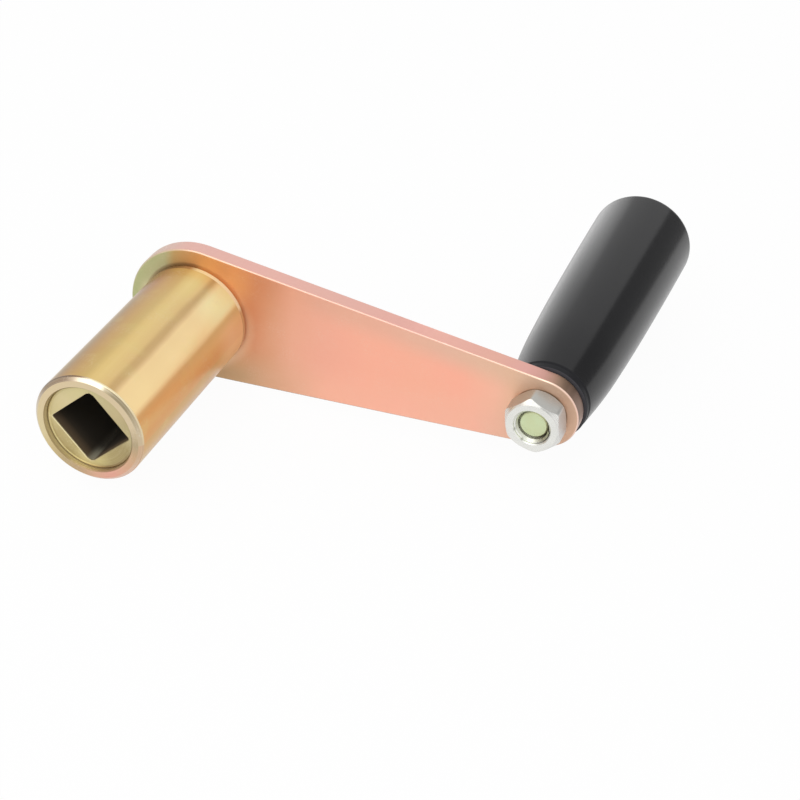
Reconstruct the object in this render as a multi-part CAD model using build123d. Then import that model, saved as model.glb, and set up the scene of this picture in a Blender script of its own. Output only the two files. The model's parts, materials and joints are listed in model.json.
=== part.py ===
from build123d import *
import math
import os

# Crank handle: a steel hub tube with a square drive socket, a flat tapered arm and a
# revolving moulded grip on a shoulder bolt. Millimetres. The hub axis is Y: the origin is
# the centre of the hub's front rim, +Y runs through the hub towards the arm and the grip,
# +X runs along the arm to the grip, and +Z is up.

# ---- Square drive bush ------------------------------------------------------------------
SQUARE_WIDTH = 17.0  # across the flats of the socket
SQUARE_CORNER_RADIUS = 1.2
SQUARE_MOUTH_CHAMFER = 0.3
BUSH_CORNER_WALL = 1.95  # steel left outside each corner of the square
BUSH_RECESS = 1.5  # how far the bush is sunk behind the rim
BUSH_LENGTH = 24.0
BUSH_CHAMFER = 0.6
BUSH_CLEARANCE = 0.02  # radial, bush in tube

# ---- Hub tube ---------------------------------------------------------------------------
TUBE_WALL = 3.35  # with the bush this makes a 33.7 mm tube
TUBE_LENGTH = 66.0  # front rim to the arm's front face
RIM_CHAMFER = 1.1  # turned on the front rim's outer edge
RIM_INNER_CHAMFER = 0.3
HEEL_CHAMFER = 0.8  # on the shoulder that stands on the arm
SPIGOT_STEP = 1.65  # the end that enters the arm is turned down by this on the radius

# ---- Arm --------------------------------------------------------------------------------
ARM_CENTRES = 110.0  # hub axis to grip axis
ARM_THICKNESS = 5.5
ARM_HUB_MARGIN = 5.05  # arm outside the tube
ARM_TIP_MARGIN = 6.5  # arm outside the axle's thread
ARM_EDGE_CHAMFER = 0.5
SEAT_CLEARANCE = 0.05  # radial, spigot in arm
AXLE_HOLE_CLEARANCE = 0.25  # radial, thread in arm

# ---- Hub weld ---------------------------------------------------------------------------
WELD_DEPTH = 1.7  # the spigot stops this far inside the arm's back face
WELD_OVERLAP = 2.6  # how far the bead spreads over the arm beyond the spigot's seat
WELD_CROWN = 1.1  # how far the bead stands above the arm's back face
WELD_INSET = 0.4  # step left bare at the spigot's bore

# ---- Shoulder bolt, the grip's axle -----------------------------------------------------
THREAD_DIAMETER = 10.0
THREAD_END_CHAMFER = 1.0
THREAD_END_SINK = 1.8  # the thread stops this far inside the nut's outer face
SHANK_DIAMETER = 12.0
HEAD_DIAMETER = 18.0
HEAD_HEIGHT = 8.0
HEAD_CHAMFER = 0.8
KEY_WIDTH = 6.0  # hexagon socket across flats
KEY_DEPTH = 4.5

# ---- Hexagon nut ------------------------------------------------------------------------
NUT_WIDTH = 16.0  # across flats
NUT_HEIGHT = 8.0
NUT_FACE_RATIO = 0.93  # chamfer circle on the faces, as a share of the width
NUT_CHAMFER_ANGLE = 30.0
NUT_COUNTERSINK = 0.75
NUT_THREAD_CLEARANCE = 0.05  # radial, nut on thread
NUT_TURN = 39.5  # angle of one corner above the arm's centre line, degrees

# ---- Grip -------------------------------------------------------------------------------
GRIP_LENGTH = 104.5
GRIP_COLLAR_RADIUS = 11.9
GRIP_COLLAR_LENGTH = 2.6
GRIP_NECK_RADIUS = 12.4
GRIP_SHOULDER_RADIUS = 13.8  # an eighth of the way along
GRIP_THROAT_RADIUS = 14.8  # a quarter of the way along
GRIP_BELLY_RADIUS = 15.8  # half-way along
GRIP_END_RADIUS = 16.7
GRIP_END_TAPER = 0.5  # lean of the side where it meets the end's round, degrees
GRIP_END_ROUND = 2.6
GRIP_BORE_CHAMFER = 0.5
GRIP_RUNNING_CLEARANCE = 0.08  # radial, bore on shank
GRIP_END_PLAY = 0.3  # at each end of the grip
RECESS_DEPTH = 11.0  # pocket for the bolt's head
RECESS_CLEARANCE = 0.75  # radial, head in pocket

# ---- Radii and places worked out from the sizes -----------------------------------------
CORNER_REACH = SQUARE_WIDTH / math.sqrt(2) - SQUARE_CORNER_RADIUS * (math.sqrt(2) - 1)
BUSH_RADIUS = CORNER_REACH + BUSH_CORNER_WALL
BORE_RADIUS = BUSH_RADIUS + BUSH_CLEARANCE
TUBE_RADIUS = BORE_RADIUS + TUBE_WALL
SPIGOT_RADIUS = TUBE_RADIUS - SPIGOT_STEP
SEAT_RADIUS = SPIGOT_RADIUS + SEAT_CLEARANCE
ARM_HUB_RADIUS = TUBE_RADIUS + ARM_HUB_MARGIN
ARM_TIP_RADIUS = THREAD_DIAMETER / 2 + ARM_TIP_MARGIN
ARM_FRONT = TUBE_LENGTH
ARM_BACK = ARM_FRONT + ARM_THICKNESS
SPIGOT_END = ARM_BACK - WELD_DEPTH
GRIP_START = ARM_BACK + GRIP_END_PLAY
GRIP_END = GRIP_START + GRIP_LENGTH
RECESS_FLOOR = GRIP_END - RECESS_DEPTH
HEAD_SEAT = RECESS_FLOOR + GRIP_END_PLAY
NUT_FRONT = ARM_FRONT - NUT_HEIGHT
THREAD_END = NUT_FRONT + THREAD_END_SINK
GRIP_AXIS = Pos(ARM_CENTRES, 0, 0)


def plane_at(depth):
    """A plane across the hub axis that faces the grip's side."""
    return Plane(origin=(0, depth, 0), x_dir=(1, 0, 0), z_dir=(0, 1, 0))


def turned(*corners):
    """A solid turned about the Y axis from a closed outline of (radius, depth) corners."""
    return revolve(make_face(Polyline(*corners, close=True)), Axis.Y)


def make_hub_tube():
    """Tube with a chamfered front rim, and a spigot turned on the end in the arm."""
    return turned(
        (BORE_RADIUS, RIM_INNER_CHAMFER),
        (BORE_RADIUS + RIM_INNER_CHAMFER, 0),
        (TUBE_RADIUS - RIM_CHAMFER, 0),
        (TUBE_RADIUS, RIM_CHAMFER),
        (TUBE_RADIUS, ARM_FRONT - HEEL_CHAMFER),
        (TUBE_RADIUS - HEEL_CHAMFER, ARM_FRONT),
        (SPIGOT_RADIUS, ARM_FRONT),
        (SPIGOT_RADIUS, SPIGOT_END),
        (BORE_RADIUS, SPIGOT_END),
    )


def make_square_bush():
    """Bush pressed into the tube, broached with a square whose corners point along X and Z."""
    front = BUSH_RECESS
    back = BUSH_RECESS + BUSH_LENGTH
    blank = turned(
        (0, front),
        (BUSH_RADIUS - BUSH_CHAMFER, front),
        (BUSH_RADIUS, front + BUSH_CHAMFER),
        (BUSH_RADIUS, back - BUSH_CHAMFER),
        (BUSH_RADIUS - BUSH_CHAMFER, back),
        (0, back),
    )
    square = Rot(0, 0, 45) * RectangleRounded(SQUARE_WIDTH, SQUARE_WIDTH, SQUARE_CORNER_RADIUS)
    bush = blank - extrude(plane_at(front) * square, BUSH_LENGTH)
    mouth = bush.faces().sort_by(Axis.Y)[0].inner_wires()[0]
    return chamfer(mouth.edges(), SQUARE_MOUTH_CHAMFER)


def make_arm_plate():
    """Flat arm: two round ends joined by their common tangents, with both edges broken."""
    lean = math.acos((ARM_HUB_RADIUS - ARM_TIP_RADIUS) / ARM_CENTRES)
    hub_tangent = Vector(math.cos(lean), math.sin(lean)) * ARM_HUB_RADIUS
    tip_tangent = Vector(math.cos(lean), math.sin(lean)) * ARM_TIP_RADIUS + Vector(ARM_CENTRES, 0)
    upper = Line(hub_tangent, tip_tangent)
    tip = ThreePointArc(upper @ 1, (ARM_CENTRES + ARM_TIP_RADIUS, 0), mirror(upper, Plane.XZ) @ 1)
    lower = mirror(upper, Plane.XZ)
    hub = ThreePointArc(lower @ 0, (-ARM_HUB_RADIUS, 0), upper @ 0)
    outline = make_face([upper, tip, lower, hub])
    plate = extrude(plane_at(ARM_FRONT) * outline, ARM_THICKNESS)
    rims = plate.edges().group_by(Axis.Y)
    plate = chamfer(rims[0] + rims[-1], ARM_EDGE_CHAMFER)
    seat = extrude(plane_at(ARM_FRONT) * Circle(SEAT_RADIUS), ARM_THICKNESS)
    axle_hole = Circle(THREAD_DIAMETER / 2 + AXLE_HOLE_CLEARANCE)
    return plate - seat - GRIP_AXIS * extrude(plane_at(ARM_FRONT) * axle_hole, ARM_THICKNESS)


def make_hub_weld():
    """Ring of weld that fills the seat behind the spigot and crowns over the arm's back."""
    inner = BORE_RADIUS + WELD_INSET
    outer = SEAT_RADIUS + WELD_OVERLAP
    crown = ((inner + outer) / 2, ARM_BACK + WELD_CROWN)
    bow = ThreePointArc((outer, ARM_BACK), crown, (inner, SPIGOT_END))
    steps = 6  # short cones along the bow keep the bead's mesh light
    bead = [bow @ (i / steps) for i in range(steps + 1)]
    return turned(*bead, (SEAT_RADIUS, SPIGOT_END), (SEAT_RADIUS, ARM_BACK))


def make_axle_bolt():
    """Shoulder bolt: thread through the arm, plain shank in the grip, sunk socket head."""
    thread = THREAD_DIAMETER / 2
    shank = SHANK_DIAMETER / 2
    head = HEAD_DIAMETER / 2
    top = HEAD_SEAT + HEAD_HEIGHT
    blank = turned(
        (0, THREAD_END),
        (thread - THREAD_END_CHAMFER, THREAD_END),
        (thread, THREAD_END + THREAD_END_CHAMFER),
        (thread, ARM_BACK),
        (shank, ARM_BACK),
        (shank, HEAD_SEAT),
        (head, HEAD_SEAT),
        (head, top - HEAD_CHAMFER),
        (head - HEAD_CHAMFER, top),
        (0, top),
    )
    key = RegularPolygon(KEY_WIDTH / 2, 6, major_radius=False)
    return GRIP_AXIS * (blank - extrude(plane_at(top - KEY_DEPTH) * key, KEY_DEPTH))


def make_hex_nut():
    """Hexagon nut with both faces turned to a 30 degree chamfer and a countersunk bore."""
    face = NUT_WIDTH * NUT_FACE_RATIO / 2
    corner = NUT_WIDTH / math.sqrt(3)
    drop = (corner - face) * math.tan(math.radians(NUT_CHAMFER_ANGLE))
    bore = THREAD_DIAMETER / 2 + NUT_THREAD_CLEARANCE
    hexagon = RegularPolygon(NUT_WIDTH / 2, 6, major_radius=False)
    flats = extrude(plane_at(NUT_FRONT) * Rot(0, 0, -NUT_TURN) * hexagon, NUT_HEIGHT)
    turning = turned(
        (bore + NUT_COUNTERSINK, NUT_FRONT),
        (face, NUT_FRONT),
        (corner, NUT_FRONT + drop),
        (corner, ARM_FRONT - drop),
        (face, ARM_FRONT),
        (bore + NUT_COUNTERSINK, ARM_FRONT),
        (bore, ARM_FRONT - NUT_COUNTERSINK),
        (bore, NUT_FRONT + NUT_COUNTERSINK),
    )
    return GRIP_AXIS * (flats & turning)


def make_grip():
    """Moulded grip that swells away from the arm, bored for the shank and pocketed for the head."""
    bore = SHANK_DIAMETER / 2 + GRIP_RUNNING_CLEARANCE
    pocket = HEAD_DIAMETER / 2 + RECESS_CLEARANCE
    collar_top = GRIP_START + GRIP_COLLAR_LENGTH
    foot = Polyline(
        (bore, GRIP_START + GRIP_BORE_CHAMFER),
        (bore + GRIP_BORE_CHAMFER, GRIP_START),
        (GRIP_COLLAR_RADIUS, GRIP_START),
        (GRIP_COLLAR_RADIUS, collar_top),
        (GRIP_NECK_RADIUS, collar_top),
    )
    lean = math.radians(GRIP_END_TAPER)
    top = (GRIP_END_RADIUS, GRIP_END - GRIP_END_ROUND)
    middle = (GRIP_BELLY_RADIUS, GRIP_START + GRIP_LENGTH * 0.5)
    quarter = (GRIP_THROAT_RADIUS, GRIP_START + GRIP_LENGTH * 0.25)
    eighth = (GRIP_SHOULDER_RADIUS, GRIP_START + GRIP_LENGTH * 0.125)
    palm = TangentArc(top, middle, tangent=(-math.sin(lean), -math.cos(lean)))
    belly = TangentArc(middle, quarter, tangent=palm % 1)
    throat = TangentArc(quarter, eighth, tangent=belly % 1)
    neck = TangentArc(eighth, foot @ 1, tangent=throat % 1)
    end_round = JernArc(top, (0, 1), GRIP_END_ROUND, 90)
    inside = Polyline(
        end_round @ 1,
        (pocket, GRIP_END),
        (pocket, RECESS_FLOOR),
        (bore, RECESS_FLOOR),
        foot @ 0,
    )
    section = make_face([foot, neck, throat, belly, palm, end_round, inside])
    return GRIP_AXIS * revolve(section, Axis.Y)


PIECES = {
    "hub_tube": make_hub_tube,
    "square_bush": make_square_bush,
    "arm_plate": make_arm_plate,
    "hub_weld": make_hub_weld,
    "axle_bolt": make_axle_bolt,
    "hex_nut": make_hex_nut,
    "grip": make_grip,
}

os.makedirs("parts", exist_ok=True)
for name, make in PIECES.items():
    export_step(make(), f"parts/{name}.step")
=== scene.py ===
import json
import math

import bmesh
import bpy
from bpy.props import FloatProperty, FloatVectorProperty, IntProperty, PointerProperty
from mathutils import Matrix, Vector


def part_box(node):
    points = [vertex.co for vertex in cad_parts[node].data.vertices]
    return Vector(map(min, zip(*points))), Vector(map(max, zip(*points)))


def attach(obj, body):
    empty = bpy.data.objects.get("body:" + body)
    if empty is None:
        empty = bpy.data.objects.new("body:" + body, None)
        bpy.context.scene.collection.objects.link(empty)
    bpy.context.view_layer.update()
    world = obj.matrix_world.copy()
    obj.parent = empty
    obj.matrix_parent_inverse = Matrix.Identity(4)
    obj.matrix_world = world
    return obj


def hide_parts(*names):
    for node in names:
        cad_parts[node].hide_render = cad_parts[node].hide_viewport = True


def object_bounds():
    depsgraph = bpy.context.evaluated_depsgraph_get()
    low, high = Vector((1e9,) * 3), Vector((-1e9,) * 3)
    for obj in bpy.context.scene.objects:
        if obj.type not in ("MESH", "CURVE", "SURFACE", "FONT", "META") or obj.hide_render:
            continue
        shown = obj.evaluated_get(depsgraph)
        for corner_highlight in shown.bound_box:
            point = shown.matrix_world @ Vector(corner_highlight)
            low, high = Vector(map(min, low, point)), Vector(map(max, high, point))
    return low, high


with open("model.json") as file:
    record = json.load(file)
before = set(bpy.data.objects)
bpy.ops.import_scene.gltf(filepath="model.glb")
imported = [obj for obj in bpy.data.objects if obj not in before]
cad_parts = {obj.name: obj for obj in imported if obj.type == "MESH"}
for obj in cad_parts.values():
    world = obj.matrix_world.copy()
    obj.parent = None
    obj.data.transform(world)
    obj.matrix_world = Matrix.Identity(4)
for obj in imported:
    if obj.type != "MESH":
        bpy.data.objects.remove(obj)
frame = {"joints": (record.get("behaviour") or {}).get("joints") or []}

bl_info = {
    "name": "Crank Handle",
    "version": (1, 0, 0),
    "blender": (4, 5, 0),
    "location": "3D Viewport > Sidebar > Crank Handle",
    "description": "Builds the hub, arm, fasteners and grip of a plated hand crank",
    "category": "Add Mesh",
}

# ---- Places read from the frame ----
CAD_BOX = [list(corner_highlight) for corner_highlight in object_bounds()]
TUBE_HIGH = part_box("hub_tube")[1]
BUSH_LOW, BUSH_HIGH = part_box("square_bush")
ARM_LOW, ARM_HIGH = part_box("arm_plate")
WELD_LOW, WELD_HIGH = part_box("hub_weld")
BOLT_LOW, BOLT_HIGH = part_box("axle_bolt")
NUT_LOW, NUT_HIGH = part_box("hex_nut")
GRIP_LOW, GRIP_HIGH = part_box("grip")
GRIP_AXIS = frame["joints"][0]["pos_m"][0]
MM = 0.001
SKIN = 0.01 * MM  # keeps a finer mesh inside the coarser CAD box
NEAR = 0.02 * MM  # how far from a ring an edge may lie and still be part of it
FULL_TURN = 2 * math.pi
CRISP = math.radians(25)  # edges that turn by more than this are sharp


def hidden_skin(value):
    """A radius or reach taken from the frame, less a hair, so no facet leaves the CAD box."""
    return value - SKIN


# ---- Sizes and colours that a user may change ----
def length(name, description, default):
    return FloatProperty(name=name, description=description, default=default, min=0.0,
                         precision=5, subtype="DISTANCE", unit="LENGTH")


def colour(name, description, default):
    return FloatVectorProperty(name=name, description=description, default=default, size=3,
                               min=0.0, max=1.0, subtype="COLOR")


class CrankHubSizes(bpy.types.PropertyGroup):
    radius: length("Tube Radius", "Outside radius of the hub tube", TUBE_HIGH.z)
    bore: length("Bore Radius", "Radius of the tube's bore", 13.494 * MM)
    shoulder: length("Shoulder", "Depth at which the tube stands on the arm", ARM_LOW.y)
    spigot: length("Spigot Radius", "Radius of the turned end in the arm", 15.194 * MM)
    rim_chamfer: length("Rim Chamfer", "Chamfer on the front rim", 1.1 * MM)
    heel_chamfer: length("Heel Chamfer", "Chamfer on the end that stands on the arm", 0.8 * MM)
    socket_width: length("Socket Width", "Square socket across the flats", 17.0 * MM)
    socket_corner: length("Side Corner Cut", "Cut in the corners along the arm", 0.6 * MM)
    socket_crest: length("Upright Corner Cut", "Cut in the corners across the arm", 1.5 * MM)
    bush_chamfer: length("Bush Chamfer", "Chamfer on the bush's outer edges", 0.3 * MM)
    mouth_chamfer: length("Mouth Chamfer", "Chamfer round the socket's mouth", 0.3 * MM)


class CrankArmSizes(bpy.types.PropertyGroup):
    edge: length("Edge Round", "Round on the arm's front and back edges", 0.62 * MM)
    axle_hole: length("Axle Hole Radius", "Radius of the hole for the bolt", 5.25 * MM)
    weld_inner: length("Weld Inner Radius", "Radius at which the weld starts", 13.9 * MM)
    ripple: length("Weld Ripple", "Depth of the ripples along the weld", 0.16 * MM)
    ripples: IntProperty(name="Weld Ripples", description="Ripples round the weld", default=46)


class CrankFastenerSizes(bpy.types.PropertyGroup):
    thread: length("Thread Radius", "Outside radius of the bolt's thread", 5.0 * MM)
    pitch: length("Thread Pitch", "Distance from turn to turn", 1.5 * MM)
    shank: length("Shank Radius", "Radius of the plain shank in the grip", 6.0 * MM)
    head_height: length("Head Height", "Height of the bolt's head", 8.0 * MM)
    key_width: length("Key Width", "Hexagon socket across flats", 6.0 * MM)
    key_depth: length("Key Depth", "Depth of the hexagon socket", 4.5 * MM)
    nut_width: length("Nut Width", "Nut across flats", 16.0 * MM)
    nut_face: length("Nut Face Radius", "Radius of the circle inside the chamfer", 7.6 * MM)
    nut_bore: length("Nut Bore Radius", "Radius at the root of the nut's thread", 5.05 * MM)
    countersink: length("Countersink", "Countersink at the mouth of the nut", 0.75 * MM)
    front_slope: FloatProperty(name="Front Chamfer Slope", default=0.9,
                               description="Depth of the nut's front chamfer to its width")
    back_slope: FloatProperty(name="Back Chamfer Slope", default=1.15,
                              description="Depth of the nut's back chamfer to its width")
    nut_turn: FloatProperty(name="Nut Turn", description="Angle of one corner above the arm",
                            default=math.radians(41), subtype="ANGLE", unit="ROTATION")


class CrankGripSizes(bpy.types.PropertyGroup):
    bore: length("Bore Radius", "Radius of the grip's bore", 6.08 * MM)
    collar: length("Collar Radius", "Radius of the collar at the arm", 12.3 * MM)
    collar_length: length("Collar Length", "Length of the collar", 2.6 * MM)
    neck: length("Neck Radius", "Radius above the collar", 12.55 * MM)
    shoulder: length("Shoulder Radius", "Radius an eighth of the way along", 13.8 * MM)
    throat: length("Throat Radius", "Radius a quarter of the way along", 14.8 * MM)
    belly: length("Belly Radius", "Radius half-way along", 15.8 * MM)
    end_round: length("End Round", "Round at the free end", 2.6 * MM)
    pocket: length("Pocket Radius", "Radius of the pocket round the bolt's head", 9.75 * MM)
    pocket_depth: length("Pocket Depth", "Depth of the pocket", 11.0 * MM)


class CrankFinish(bpy.types.PropertyGroup):
    amber: colour("Amber Clouds", "Clouds in the plated hub", (0.66, 0.38, 0.18))
    rose: colour("Rose Clouds", "Clouds in the plated arm", (0.84, 0.50, 0.30))
    weld: colour("Weld Plate", "Main colour of the plated weld", (0.60, 0.42, 0.20))
    zinc: colour("Bright Zinc", "Colour of the nut", (0.80, 0.80, 0.76))
    thread_plate: colour("Bolt Plate", "Colour of the plated bolt", (0.62, 0.71, 0.44))
    grip_black: colour("Grip Black", "Colour of the moulded grip", (0.008, 0.008, 0.009))


class CrankStage(bpy.types.PropertyGroup):
    lens: FloatProperty(name="Lens", description="Focal length of the camera in millimetres",
                        default=83.2554, min=1.0)
    floor_colour: colour("Floor Colour", "Colour of the floor", (0.9, 0.9, 0.9))
    lamp_level: FloatProperty(name="Lamp Level", description="Share of the lamp's light",
                              default=1.0, min=0.0)


# ---- Mesh tools ----
def off_axis(place, axis_x=0.0):
    """How far a place lies from an axis that runs along Y."""
    return math.hypot(place.x - axis_x, place.z)


def only(geometry, kind=bmesh.types.BMVert):
    """The parts of one kind in what a mesh operator gives back."""
    return [part for part in geometry if isinstance(part, kind)]


def edges_of(verts):
    """The edges that meet at a few vertices."""
    return list({edge for vert in verts for edge in vert.link_edges})


def strip(bm, places, closed=False, axis_x=0.0):
    """A few vertices joined in a row by edges. A place is (x, y) or (x, y, z), and x counts
    from an axis."""
    verts = [bm.verts.new((axis_x + x, *rest, 0.0)[:3]) for x, *rest in places]
    for a, b in zip(verts, verts[1:]):
        bm.edges.new((a, b))
    if closed:
        bm.edges.new((verts[-1], verts[0]))
    return verts


def arc(bm, start, centre, axis, angle, steps):
    """Spin a vertex along an arc. Returns the last vertex."""
    made = bmesh.ops.spin(bm, geom=[start], cent=centre, axis=axis, angle=angle, steps=steps,
                          use_merge=False)
    return only(made["geom_last"])[0]


def bow(bm, start, target, heading, steps):
    """Spin a profile vertex along the arc that leaves it along heading and ends at target.
    Returns the last vertex and the heading there."""
    chord = Vector((target[0], target[1])) - start.co.xy
    lean = math.atan2(heading.x * chord.y - heading.y * chord.x, heading.dot(chord))
    side = Vector((-heading.y, heading.x)) * (chord.length / (2 * math.sin(lean)))
    centre = start.co + Vector((side.x, side.y, 0.0))
    last = arc(bm, start, centre, (0, 0, 1), 2 * lean, steps)
    return last, Matrix.Rotation(2 * lean, 2) @ heading


def spin_round(bm, axis_x, steps):
    """Spin everything once round the line through (axis_x, 0, 0) that runs along Y."""
    bmesh.ops.spin(bm, geom=bm.verts[:] + bm.edges[:], cent=(axis_x, 0, 0), axis=(0, 1, 0),
                   angle=FULL_TURN, steps=steps, use_merge=True)
    close_up(bm)


def close_up(bm):
    """Merge doubles, then turn every face outwards."""
    bmesh.ops.remove_doubles(bm, verts=bm.verts[:], dist=0.5 * SKIN)
    bmesh.ops.recalc_face_normals(bm, faces=bm.faces[:])


def bevel(bm, geometry, width, segments, affect="EDGES"):
    bmesh.ops.bevel(bm, geom=geometry, offset=width, offset_type="OFFSET", affect=affect,
                    segments=segments, profile=0.5, material=-1,
                    clamp_overlap=affect == "EDGES")


def sharp_edges(bm, keep, angle=CRISP):
    """The edges whose faces meet at more than an angle, and that a rule keeps."""
    return [edge for edge in bm.edges
            if len(edge.link_faces) == 2 and edge.calc_face_angle(0.0) > angle and keep(edge)]


def ring_at(depth, radius=None, axis_x=0.0):
    """A rule that keeps the edges that lie at a depth, and at a radius where one is given."""
    def rule(edge):
        return all(abs(vert.co.y - depth) <= NEAR and (
            radius is None or abs(off_axis(vert.co, axis_x) - radius) <= NEAR)
            for vert in edge.verts)
    return rule


def circle(bm, radius, centre_x, depth, steps):
    """A ring of edges across the Y axis."""
    place = Matrix.Translation((centre_x, depth, 0)) @ Matrix.Rotation(math.pi / 2, 4, "X")
    return bmesh.ops.create_circle(bm, cap_ends=False, segments=steps, radius=radius,
                                   matrix=place)["verts"]


def thicken(bm, edges, thickness):
    """Fill a flat outline and its holes, and extrude the fill along +Y."""
    fill = bmesh.ops.triangle_fill(bm, use_beauty=True, use_dissolve=False, edges=edges,
                                   normal=(0, -1, 0))
    grown = bmesh.ops.extrude_face_region(bm, geom=only(fill["geom"], bmesh.types.BMFace),
                                          use_keep_orig=True)
    bmesh.ops.translate(bm, verts=only(grown["geom"]), vec=(0, thickness, 0))
    bmesh.ops.recalc_face_normals(bm, faces=bm.faces[:])


def draw_out(bm, edges, vec):
    """Extrude edges along a way. Returns the new vertices and edges."""
    grown = bmesh.ops.extrude_edge_only(bm, edges=edges)["geom"]
    bmesh.ops.translate(bm, verts=only(grown), vec=vec)
    return only(grown), only(grown, bmesh.types.BMEdge)


def paint(bm, pick, axis_x=0.0):
    """Give each face the material slot that a rule picks from its radius, its depth and how far
    it faces along Y. None leaves the face as it is."""
    for face in bm.faces:
        middle = face.calc_center_median()
        slot = pick(off_axis(middle, axis_x), middle.y, face.normal.y)
        if slot is not None:
            face.material_index = slot


def add_object(name, data):
    """Put a new object in the scene."""
    made = bpy.data.objects.new(name, data)
    bpy.context.scene.collection.objects.link(made)
    return made


def mesh_object(bm, name, materials):
    """Turn a bmesh into an object with its materials."""
    mesh = bpy.data.meshes.new(name)
    bm.to_mesh(mesh)
    bm.free()
    for material in materials:
        mesh.materials.append(material)
    return add_object(name, mesh)


def finish_piece(bm, name, body, node, materials):
    """Make a smooth-shaded piece that rides on a body and stands for a CAD node."""
    piece = mesh_object(bm, name, materials)
    for face in piece.data.polygons:
        face.use_smooth = True
    piece.data.set_sharp_from_angle(angle=math.radians(32))
    piece.modifiers.new("Even Normals", "WEIGHTED_NORMAL").keep_sharp = True
    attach(piece, body)
    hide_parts(node)


# ---- Node tools ----
class Board:
    """Adds nodes to a node tree and wires them, so a material reads from top to bottom."""

    def __init__(self, tree):
        self.tree = tree

    def put(self, kind, settings=None, **sockets):
        made = self.tree.nodes.new("ShaderNode" + kind)
        for name, value in (settings or {}).items():
            setattr(made, name, value)
        return self.wire(made, **sockets)

    def wire(self, made, **sockets):
        for name, value in sockets.items():
            self.feed(made, name.replace("_", " "), value)
        return made

    def feed(self, made, name, value):
        socket = made.inputs[name]
        if isinstance(value, bpy.types.NodeSocket):
            self.tree.links.new(value, socket)
        else:
            socket.default_value = value

    def math(self, operation, a, b=0.0, clamp=False):
        made = self.put("Math", {"operation": operation, "use_clamp": clamp})
        self.feed(made, 0, a)
        self.feed(made, 1, b)
        return made.outputs[0]

    def plus(self, a, b):
        return self.math("ADD", a, b)

    def minus(self, a, b):
        return self.math("SUBTRACT", a, b)

    def times(self, a, b):
        return self.math("MULTIPLY", a, b)

    def span(self, value, low, high, out_low=0.0, out_high=1.0, smooth=True):
        kind = "SMOOTHSTEP" if smooth else "LINEAR"
        made = self.put("MapRange", {"interpolation_type": kind, "clamp": True},
                        Value=value, From_Min=low, From_Max=high, To_Min=out_low,
                        To_Max=out_high)
        return made.outputs["Result"]

    def span_mm(self, value, low, high, *more, **choice):
        return self.span(value, low * MM, high * MM, *more, **choice)

    def blend(self, share, a, b, mode="MIX"):
        made = self.put("Mix", {"data_type": "RGBA", "blend_type": mode})
        self.feed(made, 0, share)
        for place, value in ((6, a), (7, b)):
            if not isinstance(value, bpy.types.NodeSocket):
                value = (*value, 1.0)[:4]
            self.feed(made, place, value)
        return made.outputs[2]

    def ramp(self, value, stops):
        made = self.put("ValToRGB", Fac=value)
        band = made.color_ramp.elements
        while len(band) < len(stops):
            band.new(0.5)
        for part, (place, tint) in zip(band, stops):
            part.position, part.color = place, (*tint, 1.0)
        return made.outputs["Color"]

    def noise(self, where, scale, detail=3.0, rough=0.5):
        return self.put("TexNoise", Vector=where, Scale=scale, Detail=detail,
                        Roughness=rough).outputs["Fac"]

    def apart(self, where):
        made = self.put("SeparateXYZ", Vector=where)
        return made.outputs["X"], made.outputs["Y"], made.outputs["Z"]


def effect_group(name, takes, gives):
    """An empty shader node group that takes a place and more, and gives numbers. Returns the
    tree, its board and its two ends."""
    tree = bpy.data.node_groups.new(name, "ShaderNodeTree")
    socket = tree.interface.new_socket
    socket(name="Vector", in_out="INPUT", socket_type="NodeSocketVector")
    for label, start in takes.items():
        kind = "NodeSocketVector" if isinstance(start, tuple) else "NodeSocketFloat"
        socket(name=label, in_out="INPUT", socket_type=kind).default_value = start
    for label in gives:
        socket(name=label, in_out="OUTPUT", socket_type="NodeSocketFloat")
    ends = tree.nodes.new("NodeGroupInput").outputs, tree.nodes.new("NodeGroupOutput")
    return tree, Board(tree), *ends


def turned_coordinates(name):
    """Angle (0 to 1 from +X towards +Z), radius and depth round a turned part's axis."""
    tree, board, taken, given = effect_group(name, {"Axis X": 0.0},
                                             ["Angle", "Radius", "Depth"])
    x, y, z = board.apart(taken["Vector"])
    across = board.minus(x, taken["Axis X"])
    turn = board.math("DIVIDE", board.math("ARCTAN2", z, across), FULL_TURN)
    squared = board.plus(board.times(across, across), board.times(z, z))
    board.wire(given, Angle=board.math("FRACT", board.plus(turn, 1.0)),
               Radius=board.math("SQRT", squared), Depth=y)
    return tree


def drawn_grain(name):
    """Fine lines that run one way, as drawing or rolling leaves them, and a faint mottle."""
    tree, board, taken, given = effect_group(name, {"Line Scale": (4000, 60, 4000)},
                                             ["Lines", "Mottle"])
    laid = board.put("VectorMath", {"operation": "MULTIPLY"})
    board.feed(laid, 0, taken["Vector"])
    board.feed(laid, 1, taken["Line Scale"])
    board.wire(given, Lines=board.noise(laid.outputs[0], 1.0, 3.0, 0.6),
               Mottle=board.noise(taken["Vector"], 900.0, 4.0, 0.6))
    return tree


def passivate_clouds(name):
    """The soft tint clouds of a zinc passivate, as a mask from 0 to 1."""
    tree, board, taken, given = effect_group(name, {"Scale": 40.0, "Spread": 0.15}, ["Clouds"])
    wide = board.noise(taken["Vector"], taken["Scale"], 3.0, 0.55)
    board.wire(given, Clouds=board.span(wide, board.minus(0.5, taken["Spread"]),
                                        board.plus(0.5, taken["Spread"])))
    return tree


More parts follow.
